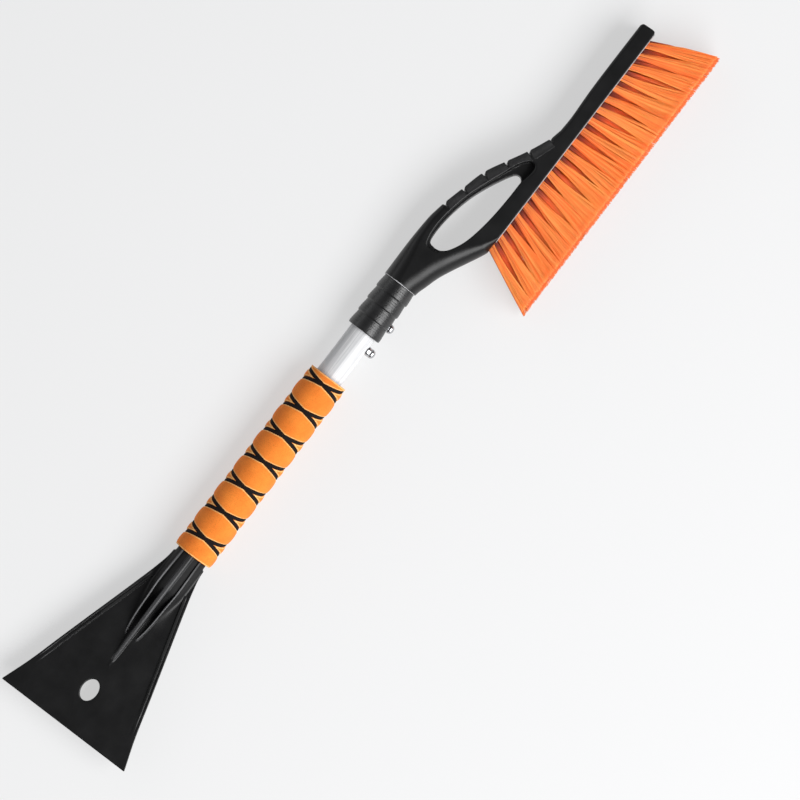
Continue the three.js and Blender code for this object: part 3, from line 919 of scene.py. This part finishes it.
def handle_tube():
    """A thin tube with a round hole for each button. Its rings lie closest together at the holes."""
    rings = [TUBE_START + 0.35, *np.arange(TUBE_START + 6, GRIP_END + 20, 8)]
    for middle in BUTTONS.values():
        rings += list(np.arange(middle - 6, middle + 6.1, 1.0))
    rings += list(np.arange(BUTTONS["upper"] + 8, TUBE_END - 1, 4)) + [TUBE_END - 0.35]
    outer = [(TUBE_START, TUBE_RADIUS - 0.35), *((x, TUBE_RADIUS) for x in sorted(set(rings))),
             (TUBE_END, TUBE_RADIUS - 0.35)]
    inner = [(TUBE_END, TUBE_INSIDE + 0.2), (TUBE_END - 0.3, TUBE_INSIDE), (TUBE_START + 0.3, TUBE_INSIDE),
             (TUBE_START, TUBE_INSIDE + 0.2)]
    shape = lathe(outer + inner, 144, closed=True)
    piece = new_piece("handle_tube_drawn", shape, "handle", "aluminium", "handle_tube")
    cut_with(piece, button_cutter("lower"), button_cutter("upper"))
    crisp(piece, 30)
    round_normals(piece)


def snap_button(place):
    """A domed pin with a turned groove, on a flange that keeps it in the tube. Its profile is
    (height above the tube's axis, radius)."""
    profile = [(7.4, 0.0), (7.4, 4.2), (7.6, 4.45), (8.1, 4.45), (8.3, 4.2), (8.45, 3.75), (9.5, 3.72)]
    profile += [(13.4, 3.72), (13.55, 3.55), (13.8, 3.45), (14.05, 3.55), (14.2, 3.72)]
    angles = np.linspace(0, math.pi / 2, 18)
    profile += [(14.5 + 3.28 * math.sin(a), 3.72 * math.cos(a) ** 0.8) for a in angles[:-1]]
    points, faces = lathe(profile + [(17.78, 0.0)], 72)
    shape = (turned_to_y(points) + (BUTTONS[place], 0, 0), faces)
    piece = new_piece(f"snap_button_{place}_pin", shape, f"{place}_button", "chrome", f"snap_button_{place}")
    crisp(piece, 50)
    return piece


def spring_clip(place, direction):
    """A V of spring steel: one leg carries the button and the other presses on the far wall."""
    middle = BUTTONS[place]
    path = [(-4, -7.05), (5, -7.05), (12, -5.2), (24, -1.6), (28.6, -0.55), (30, 0.75),
            (28.6, 2.05), (24, 3.0), (5, 6.9), (-4, 8.55)]
    line = curve_through([(middle + direction * away, y) for away, y in path], 5)
    tangent = np.gradient(line, axis=0)
    tangent /= np.linalg.norm(tangent, axis=1)[:, None]
    inward = np.stack([-tangent[:, 1], tangent[:, 0]], 1) * (1 if direction > 0 else -1)
    width, thickness, corner = 4.0, 0.7, 0.12
    half = [(width - corner, 0), (width, corner), (width, thickness - corner), (width - corner, thickness)]
    section = half + [(-z, depth) for z, depth in half[::-1]]
    points = [(x + nx * depth, y + ny * depth, z)
              for (x, y), (nx, ny) in zip(line, inward) for z, depth in section]
    faces = tube_faces(len(line), len(section))
    if direction < 0:
        faces = [face[::-1] for face in faces]
    piece = new_piece(f"spring_clip_{place}_leaf", (points, faces), None, "spring_steel",
                      f"spring_clip_{place}")
    crisp(piece, 40)
    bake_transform(piece)


# ---- Brush head ----

CARRIER_SEAT = ((488.0, -41.0, -11.5), (681.5, -35.9, 11.5))
BORE_END = 445.5
UNDERSIDE_Y = ROOT_Y + 1.1
NOTCHES = [(486.2, 8.3), (503.3, 3.6), (521.6, -1.4), (538.1, -9.7), (554.9, -18.4), (572.7, -25.1)]
BACK_BEFORE_PADS = curve_through([(485.4, 10.9), (478.3, 12.2), (469.4, 13.4), (446.4, 14.3), (418.4, 14.2),
                                  (400, 14.2)])
BACK_UNDER_PADS = np.vstack([[(583.4, -26.0), (575.4, -24.3), (573.4, -24.3)],
                             curve_through(NOTCHES[::-1])])
BACK_OF_BAR = curve_through([(HEAD_END - 2.6, -25.5), (643.7, -25.3), (619.2, -25.5), (596.3, -26.4),
                             (583.4, -26.0)])
LOWER_EDGE = curve_through([(400, -14.2), (418.4, -14.4), (429, -17.2), (439.2, -20.3), (450.1, -25.1),
                            (460.7, -30.4), (470, -35.0), (477, UNDERSIDE_Y)])
BAR_END = curve_through([(HEAD_END - 2.4, UNDERSIDE_Y), (HEAD_END - 0.7, UNDERSIDE_Y + 0.6),
                         (HEAD_END, UNDERSIDE_Y + 2.4), (HEAD_END, -28.4), (HEAD_END - 0.7, -26.4)], 5)
HEAD_OUTLINE = outline_distance(np.vstack([
    LOWER_EDGE, BAR_END, BACK_OF_BAR[:-1], BACK_UNDER_PADS, BACK_BEFORE_PADS]))
LOOP_BACK = [(455.4, -4.5), (457.5, 1.1), (468.7, 2.3), (484.3, 0.9), (501.9, -3), (517, -8.7), (529.8, -15)]
LOOP_TIP = [(529.8, -15), (536.2, -19.2), (537.4, -23.1), (535, -25.8)]
LOOP_LOWER = [(535, -25.8), (519.3, -25.7), (501.3, -24.7), (485.1, -22.6), (471.9, -19.4), (461.1, -14.1),
              (456.6, -9.2), (455.4, -4.5)]
LOOP_OUTLINE = outline_distance(np.vstack([
    curve_through(LOOP_BACK)[:-1], curve_through(LOOP_TIP)[:-1], curve_through(LOOP_LOWER)[:-1]]))
STEP_BACK = [(454.6, -8), (453.4, -2.5), (455.4, 2.4), (468.7, 4.5), (484.6, 3.1), (502.6, -0.8),
             (518.3, -6.4), (532, -11.9), (543.3, -16.6), (549.6, -21.4), (550.8, -25.0), (548, -27.4),
             (542.4, -27.2), (536, -26.2)]
STEP_OUTLINE = outline_distance(np.vstack([
    curve_through(STEP_BACK), [(530, -25.0), (501.3, -23.0), (485.1, -20), (471.9, -16), (461.1, -12)]]))
LEDGE_HEIGHT = [(500, 11.6), (520, 11.0), (533, 8.4), (545, 6.2), (552, 6.0)]
LEDGE_SOFTNESS = [(500, 1.2), (525, 1.4), (545, 2.6), (552, 2.6)]
LOWER_ROUNDING = [(418, 14.0), (440, 13.4), (455, 12.8), (466, 11.8), (474, 10.0), (480, 7.4), (486, 3.0),
                  (491, 0.7), (500, 0.5), (690, 0.5)]
BACK_ROUNDING = [(418, 14.0), (436, 11.5), (455, 7.0), (478, 4.2), (500, 3.2), (575, 2.8), (600, 2.4),
                 (690, 2.4)]
TURNED_PITCH, TURNED_DEPTH = 1.9, 0.11
PAD_HEIGHTS = [(2.3, 2.6), (2.6, 2.7), (2.7, 2.7), (2.7, 2.6), (2.6, 1.5)]
PAD_SKIRT, PAD_FACE = 5.6, HALF_DEPTH + 0.22
HEAD_MIDDLE = [(418, 0), (446, -5), (470, -9), (500, -15), (540, -26), (570, -31), (690, -32)]


def head_shape(x, y, z):
    """The outline of the head, 28 mm deep, with edges that get rounder towards the collar."""
    flat = HEAD_OUTLINE(x, y)
    upper = smoothstep(-3, 3, y - follow(x, HEAD_MIDDLE))
    rounding = follow(x, LOWER_ROUNDING) * (1 - upper) + follow(x, BACK_ROUNDING) * upper
    depth = HALF_DEPTH + 0.2 * (1 - smoothstep(420, 440, x))
    return both(both(flat, np.abs(z) - depth, rounding), HEAD_START - x, 0.25)


def head_field(x, y, z):
    """The head with its finger loop and the ledge round that, the tube's bore and the bristles' seat."""
    body = head_shape(x, y, z)
    loop = LOOP_OUTLINE(x, y)
    step = np.maximum(STEP_OUTLINE(x, y), (follow(x, LEDGE_HEIGHT) - np.abs(z)) * 0.95)
    body = without(body, step, follow(x, LEDGE_SOFTNESS))
    body = without(body, loop, 0.55)
    bore = np.maximum(rod(x, y, z, "x", (0, 0, 0), BORE_RADIUS), x - BORE_END)
    return all_of(body, -bore, -block(x, y, z, *CARRIER_SEAT))


def brush_head():
    """The head's moulding, on a grid that is finer where its sides round over."""
    xs = steps_between(417.4, HEAD_END + 1.2, CELL)
    ys, edge = steps_between(-39.8, 16.2, CELL), steps_between(10.2, 15, 0.65 * CELL)
    zs = np.concatenate([-edge[::-1], steps_between(-10.2, 10.2, 1.6 * CELL)[1:-1], edge])
    shape = surface(head_field, xs, ys, zs)
    new_piece("brush_head_moulding", shape, "brush_head", "black_plastic", "brush_head_body")


def head_sleeve():
    """The part of the head moulding that runs inside the collar."""
    inside, outside, start, end = BORE_RADIUS, 12.4, COLLAR_START + 1.9, HEAD_START + 2
    shape = lathe([(start, outside - 0.3), (start + 0.3, outside), (end, outside), (end, inside),
                   (start + 0.3, inside), (start, inside + 0.3)], 96, closed=True)
    piece = new_piece("brush_head_sleeve", shape, "brush_head", "black_plastic")
    cut_with(piece, button_cutter("upper"))
    crisp(piece, 40)


def seam_ring():
    """The pale line round the joint between the collar and the head."""
    radius, start, width = COLLAR_RADIUS + 0.05, COLLAR_END - 0.02, 0.8
    profile = [(start, 12.5), (start, radius - 0.1), (start + 0.08, radius),
               (start + width - 0.08, radius), (start + width, radius - 0.1), (start + width, 12.5)]
    piece = new_piece("head_seam_ring", lathe(profile, 128, closed=True), "brush_head", "grey_plastic")
    crisp(piece, 40)


def collar():
    """Four crowned rings with fine turned lines across them."""
    length = COLLAR_END - COLLAR_START
    xs = np.linspace(COLLAR_START + 0.9, COLLAR_END - 0.2, 260)
    place = (COLLAR_END - xs) / (length / 4)
    share = place - np.floor(place)
    flare = 1 - smoothstep(-0.25, 0.86, share) + 0.75 * smoothstep(0.9, 1.0, share)
    off_line = TURNED_PITCH * np.abs(xs / TURNED_PITCH - np.round(xs / TURNED_PITCH))
    radius = COLLAR_RADIUS - 0.02 - flare - TURNED_DEPTH * np.exp(-(off_line / 0.4) ** 2)
    outer = [(COLLAR_START, COLLAR_RADIUS - 1.0), (COLLAR_START + 0.12, COLLAR_RADIUS - 0.55),
             (COLLAR_START + 0.45, COLLAR_RADIUS - 0.2), *zip(xs, radius),
             (COLLAR_END, COLLAR_RADIUS - 0.4)]
    inner = [(COLLAR_END, 12.7), (COLLAR_START + 1.6, 12.7), (COLLAR_START + 1.6, BORE_RADIUS),
             (COLLAR_START + 0.4, BORE_RADIUS), (COLLAR_START, BORE_RADIUS + 0.4)]
    shape = lathe(outer + inner, 112, closed=True)
    piece = new_piece("brush_head_collar_rings", shape, "brush_head", "soft_black", "brush_head_collar")
    cut_with(piece, button_cutter("upper"))
    crisp(piece, 40)


def grip_pad(i):
    """A soft saddle over the back rail, with a rounded near corner and a sharper far one."""
    (ax, ay), (bx, by) = NOTCHES[i], NOTCHES[i + 1]
    length = math.hypot(bx - ax, by - ay)
    ux, uy = (bx - ax) / length, (by - ay) / length
    near_height, far_height = PAD_HEIGHTS[i]

    def field(x, y, z):
        # out is the height over the rail and way the distance along the pad.
        out = HEAD_OUTLINE(x, y)
        way = (x - ax) * ux + (y - ay) * uy
        near = 0.6 - way + 0.1 * out
        far = way - (length - 0.6) + 0.16 * out
        top = out - near_height - (far_height - near_height) * np.clip(way / length, 0, 1)
        flat = np.maximum(both(top, near, 2.0), both(top, far, 0.7))
        face = PAD_FACE - 0.17 * smoothstep(0.0, PAD_SKIRT - 1.5, -out)
        pad = both(flat, np.abs(z) - face, 0.9)
        return all_of(pad, -(out + PAD_SKIRT), 0.7 - STEP_OUTLINE(x, y), -(head_shape(x, y, z) + 0.9))

    step, reach = 0.45, 7.0
    shape = surface(field, steps_between(min(ax, bx) - reach, max(ax, bx) + reach, step),
                    steps_between(min(ay, by) - reach, max(ay, by) + reach, step),
                    steps_between(-15.2, 15.2, step))
    piece = new_piece(f"grip_pad_{i + 1}_soft", shape, "brush_head", "soft_black", f"grip_pad_{i + 1}")
    add_values(piece, plain=smoothstep(-1.0, PAD_SKIRT - 1.0, -HEAD_OUTLINE(*shape[0][:, :2].T)))


# ---- Bristles ----

COLUMNS = 20
ROOT_START, ROOT_END = 477.4, 678.4
TIP_START, TIP_END = along("bristle_tuft_01")[0], along(f"bristle_tuft_{COLUMNS}")[1]
ROOT_PITCH, TIP_PITCH = (ROOT_END - ROOT_START) / COLUMNS, (TIP_END - TIP_START) / COLUMNS
# The end filaments stay on this side of a line from the bar's edge to the outermost tips.
FIRST_LIMIT, LAST_LIMIT = (479.4, TIP_START), (679.9, TIP_END)
TUFT_RADIUS = 2.8
# Back, middle and front row: where each is in z, how far its columns are shifted, how strongly painted shade
# shows on it, how far it stops short of the lowest tips, and how much thicker it gets towards them.
ROWS = [(-6.2, 0.0, 0.35, 0.35, 1.7), (0.0, 0.5, 0.7, 1.2, 4.8), (6.2, 0.0, 0.16, 3.4, 1.7)]


def bristle_carrier():
    """A pale strip with a round socket for each tuft, pressed into the bar."""
    def field(x, y, z):
        up = y - ROOT_Y
        strip = both(both(within(x, 488.3, 681.2), np.abs(z) - 11.2, 1.0), within(up, 0.7, 3.0))
        flange = both(both(within(x, 486.8, 683.4), np.abs(z) - 13.3, 3.0), within(up, 0.56, 1.2), 0.15)
        body = np.minimum(strip, flange)
        for row_z, shift, *_ in ROWS:
            column = np.clip(np.round((x - ROOT_START) / ROOT_PITCH - 0.5 - shift), 0, COLUMNS - 1)
            centre = ROOT_START + (column + 0.5 + shift) * ROOT_PITCH
            away = np.hypot(x - centre, z - row_z)
            body = without(body, np.maximum(away - TUFT_RADIUS - 0.15, up - 0.9), 0.2)
        return body

    step = 0.5
    ys = steps_between(ROOT_Y - 0.6, ROOT_Y + 3.6, 0.3)
    shape = surface(field, steps_between(477.6, 684.4, step), ys, steps_between(-13.8, 13.8, step))
    new_piece("bristle_carrier_strip", shape, "brush_head", "grey_plastic", "bristle_carrier")


STATIONS = np.array([0.0, 0.12, 0.28, 0.5, 0.76, 1.0])
WISPS = 15
PER_ROW = 165
FILAMENT_RADIUS, FILAMENT_TIP_RADIUS = 0.2, 0.1
TUFT_ROOT_Y = ROOT_Y + 1.5


def end_limit(limit, y):
    """The x of an end line of the bristle field, from (x at the roots, x at the tips)."""
    return np.interp(-y, [-TUFT_ROOT_Y, -TIP_Y], limit)


def bristle_row(draw, column, row):
    """One round tuft, fanned out and gathered into wisps towards its tips: the filaments' lines, their tones
    and how much painted shade each gets, and the directions out of the tuft."""
    row_z, shift, row_shade, short, swell = row
    if column == COLUMNS - 1:
        shift *= 0.4
    base_x = ROOT_START + (column + 0.5 + shift) * ROOT_PITCH
    fullness, sway = draw.uniform(0.86, 1.14), draw.normal(0, 0.7)
    if row_z < 0:
        # The back row fills the gaps between the tufts in front of it.
        fullness = max(fullness, 1.12)
    aim_x = TIP_START + (column + 0.5 + shift) * TIP_PITCH
    radius = np.sqrt(draw.rand(PER_ROW))
    angle = draw.rand(PER_ROW) * 2 * math.pi
    across, up = radius * np.cos(angle), radius * np.sin(angle)
    wisp_x = (np.arange(WISPS) + 0.5) / WISPS * 2 - 1 + draw.uniform(-0.06, 0.06, WISPS)
    nearest = np.abs(across[:, None] * 1.15 - wisp_x[None, :]).argmin(1)
    pulled = wisp_x[nearest] + draw.normal(0, 0.035, PER_ROW)
    wisp_tone = draw.rand(WISPS)
    tones = np.clip(0.55 * wisp_tone[nearest] + 0.45 * draw.rand(PER_ROW), 0, 1)
    # About one filament in eight gets more painted shade, as dark lines among the wisps.
    shade_depths = np.where(draw.rand(PER_ROW) < 0.12, 0.62, row_shade)
    tip_y = TIP_Y + short + np.abs(draw.normal(0, 0.55, PER_ROW)) + 0.5 * np.sin(nearest * 2.4 + column)
    tip_y = np.clip(tip_y, TIP_Y + 0.08, None)
    bend = draw.normal(0, 0.5, (PER_ROW, 2))
    t = STATIONS[None, :]
    gather = smoothstep(0.15, 0.75, t)
    spread = TUFT_RADIUS + fullness * 2.9 * smoothstep(-0.05, 1.0, t) + 0.35 * t
    shape = across[:, None] * (1 - gather) + pulled[:, None] * gather
    x = base_x + (aim_x - base_x) * t ** 0.96 + shape * spread
    x = x + bend[:, :1] * t ** 2 + 4 * sway * t * (1 - t)
    z = row_z * (1 + 0.42 * t) + up[:, None] * (TUFT_RADIUS + swell * t) + 0.5 * bend[:, 1:] * t ** 2
    y = TUFT_ROOT_Y + (tip_y - TUFT_ROOT_Y)[:, None] * t
    z = np.clip(z, -13.4, 13.4)
    if column == 0:
        ragged = 0.25 + 0.5 * draw.rand(PER_ROW)[:, None] ** 3 * t
        x = np.maximum(x, end_limit(FIRST_LIMIT, y) + ragged)
    if column == COLUMNS - 1:
        x = np.minimum(x, end_limit(LAST_LIMIT, y) - 0.25)
    outward = np.stack([0.5 * across, np.full(PER_ROW, -0.34), up + 0.06 * row_z], 1)
    return np.stack([x, y, z], 2), tones, shade_depths, outward


def bristle_tuft(column):
    """The filaments of one column, shaded as the tufts that they belong to."""
    draw = np.random.RandomState(500 + column)
    rows = [bristle_row(draw, column, row) for row in ROWS]
    lines, tones, shade_depths, outward = (np.concatenate(values) for values in zip(*rows))
    count, stations = lines.shape[:2]
    thick = np.interp(STATIONS, [0, 0.7, 1], [FILAMENT_RADIUS, FILAMENT_RADIUS, FILAMENT_TIP_RADIUS])
    thick = thick[None, :, None, None] * (0.85 + 0.35 * draw.rand(count))[:, None, None, None]
    turn = draw.rand(count) * math.pi / 2
    corner = turn[:, None] + np.arange(4)[None, :] * math.pi / 2
    ring = np.stack([np.cos(corner), np.zeros_like(corner), np.sin(corner)], 2)
    points = (lines[:, :, None, :] + thick * ring[:, None, :, :]).reshape(-1, 3)
    # The normals lean out of the tuft, so that it is shaded as one bundle.
    lean = ring + 1.3 * outward[:, None, :]
    lean /= np.maximum(np.linalg.norm(lean, axis=2, keepdims=True), 1e-6)
    normals = np.repeat(lean[:, None], stations, 1).reshape(-1, 3)
    faces = np.arange(count)[:, None, None] * stations * 4 + np.array(tube_faces(stations, 4))[None]
    name = f"bristle_tuft_{column + 1:02d}"
    piece = new_piece(f"{name}_filaments", (points, faces.reshape(-1, 4).tolist(), normals), "brush_head",
                      "orange_bristle", name)
    shape = (count, stations, 4)
    add_values(piece, reach=np.broadcast_to(STATIONS[None, :, None], shape),
               tone=np.broadcast_to(tones[:, None, None], shape),
               depth=np.broadcast_to(shade_depths[:, None, None], shape))


# ---- Studio ----

VIEW_DISTANCE = 2.6
VIEW_WIDTH = 0.6032
VIEW_CENTRE = (-0.0011, -0.0374)
VIEW_RIGHT = Vector((0.6074, -0.7944, 0.0)).normalized()


def camera():
    """Straight above, turned so that the object lies across the picture as in the photograph."""
    data = bpy.data.cameras.new("camera")
    data.sensor_width = 36.0
    data.lens = data.sensor_width * VIEW_DISTANCE / VIEW_WIDTH
    data.clip_start, data.clip_end = 0.05, 50
    made = bpy.data.objects.new("camera", data)
    up = Vector((0, 0, 1)).cross(VIEW_RIGHT)
    turn = Matrix((VIEW_RIGHT, up, Vector((0, 0, 1)))).transposed()
    made.matrix_world = Matrix.Translation((*VIEW_CENTRE, ORIGIN[2] + VIEW_DISTANCE)) @ turn.to_4x4()
    bpy.context.scene.collection.objects.link(made)
    bpy.context.scene.camera = made


def floor():
    """A pale floor just under the object."""
    size, drop = 8.0, -0.0003
    corners = [(-size, -size, drop), (size, -size, drop), (size, size, drop), (-size, size, drop)]
    material = new_material("floor", Base_Color=(0.3, 0.302, 0.305), Roughness=0.9, Specular_IOR_Level=0.1,
                            Emission_Color=(1, 1, 1), Emission_Strength=0.56)[0]
    new_object("floor", corners, [(0, 1, 2, 3)], material)


def soft_light(name, tilt, heading, distance, size, power):
    """An area light at a tilt from straight overhead, on a heading in the floor's plane."""
    data = bpy.data.lights.new(name, "AREA")
    data.shape, data.size, data.size_y, data.energy = "RECTANGLE", size[0], size[1], power
    made = bpy.data.objects.new(name, data)
    tilt, heading = math.radians(tilt), math.radians(heading)
    away = Vector((math.sin(tilt) * math.cos(heading), math.sin(tilt) * math.sin(heading), math.cos(tilt)))
    made.location = away * distance
    made.rotation_euler = away.to_track_quat("Z", "Y").to_euler()
    bpy.context.scene.collection.objects.link(made)


def world():
    """Two pale walls along the object's sides, with a dim ceiling and dim ends."""
    made = bpy.data.worlds.new("studio")
    made.use_nodes = True
    tree = made.node_tree
    direction = node(tree, "TexCoord").outputs["Generated"]
    parts = node(tree, "SeparateXYZ", {"Vector": direction})

    def wall(axis, start, end, strength):
        return ramp(tree, parts.outputs[axis], start, end, to_high=strength, interpolation_type="SMOOTHSTEP")

    sides = maths(tree, "ADD", wall("Y", -0.3, -0.85, 1.0), wall("Y", 0.3, 0.85, 0.48))
    share = maths(tree, "MULTIPLY", sides, wall("Z", 0.05, 0.3, 1.0))
    background = tree.nodes["Background"]
    feed(tree, mixed(tree, share, (0.12, 0.12, 0.125), (0.78, 0.79, 0.81)), background.inputs["Color"])
    feed(tree, 1.0, background.inputs["Strength"])
    bpy.context.scene.world = made


camera()
floor()
world()
soft_light("key", tilt=42, heading=-90, distance=2.0, size=(2.6, 1.25), power=56)
soft_light("fill", tilt=66, heading=90, distance=2.2, size=(2.4, 0.8), power=4)
bpy.context.scene.view_settings.view_transform = "Standard"

scraper_blade()
neck_screw()
grip_cover()
grip_core()
handle_tube()
snap_button("lower")
# A user presses the upper button in before the head slides over it, so it sinks into the tube then.
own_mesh(snap_button("upper"))
spring_clip("lower", -1)
spring_clip("upper", 1)
brush_head()
head_sleeve()
seam_ring()
collar()
for number in range(len(PAD_HEIGHTS)):
    grip_pad(number)
bristle_carrier()
for number in range(COLUMNS):
    bristle_tuft(number)
